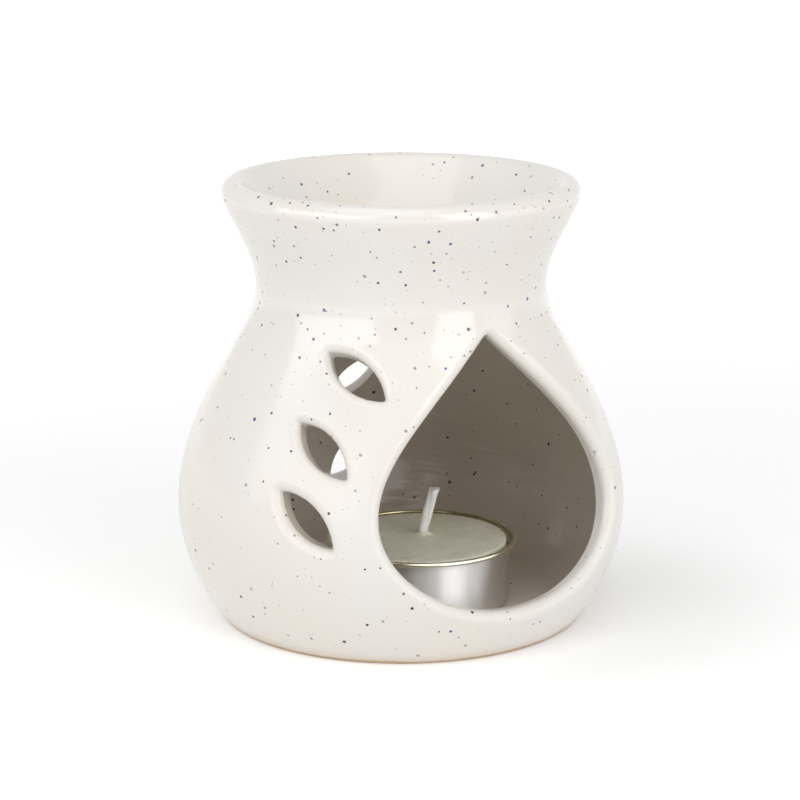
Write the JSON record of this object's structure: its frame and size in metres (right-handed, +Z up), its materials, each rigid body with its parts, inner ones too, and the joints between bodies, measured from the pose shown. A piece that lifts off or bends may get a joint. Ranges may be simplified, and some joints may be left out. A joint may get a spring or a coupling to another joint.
{
  "type": "essential oil burner",
  "caption": "Vase-shaped speckled stoneware oil burner: an oil dish in its mouth over a chamber with a drop-shaped door, leaf vents and a tealight in an aluminium cup.",
  "frame": {"origin": "centre of the foot, on the surface that the burner stands on", "axes": "+Z up along the vase's axis of turning, the door faces -Y, +X to the right of someone facing the door"},
  "size_m": [0.09, 0.0863, 0.0884],
  "materials": {
    "glaze": "glossy ivory glaze with dark specks",
    "cup_aluminium": "thin drawn sheet, satin",
    "wax": "pressed wax, slightly rough",
    "wick_cotton": "waxed cotton braid",
    "tin_plate": "tin-plated sheet"
  },
  "bodies": {
    "burner": {"burner_body": "glaze"},
    "cup": {"tealight_cup": "cup_aluminium"},
    "candle": {"candle_wax": "wax", "wick": "wick_cotton", "wick_sustainer": "tin_plate"}
  },
  "joints": [
    {"name": "tealight_out", "type": "slide", "parent": "burner", "child": "cup", "axis": [0, -0.8192, 0.5736], "range_m": [0, 0.07]},
    {"name": "candle_up", "type": "slide", "parent": "cup", "child": "candle", "axis": [0, 0, 1], "range_m": [0, 0.02]}
  ]
}
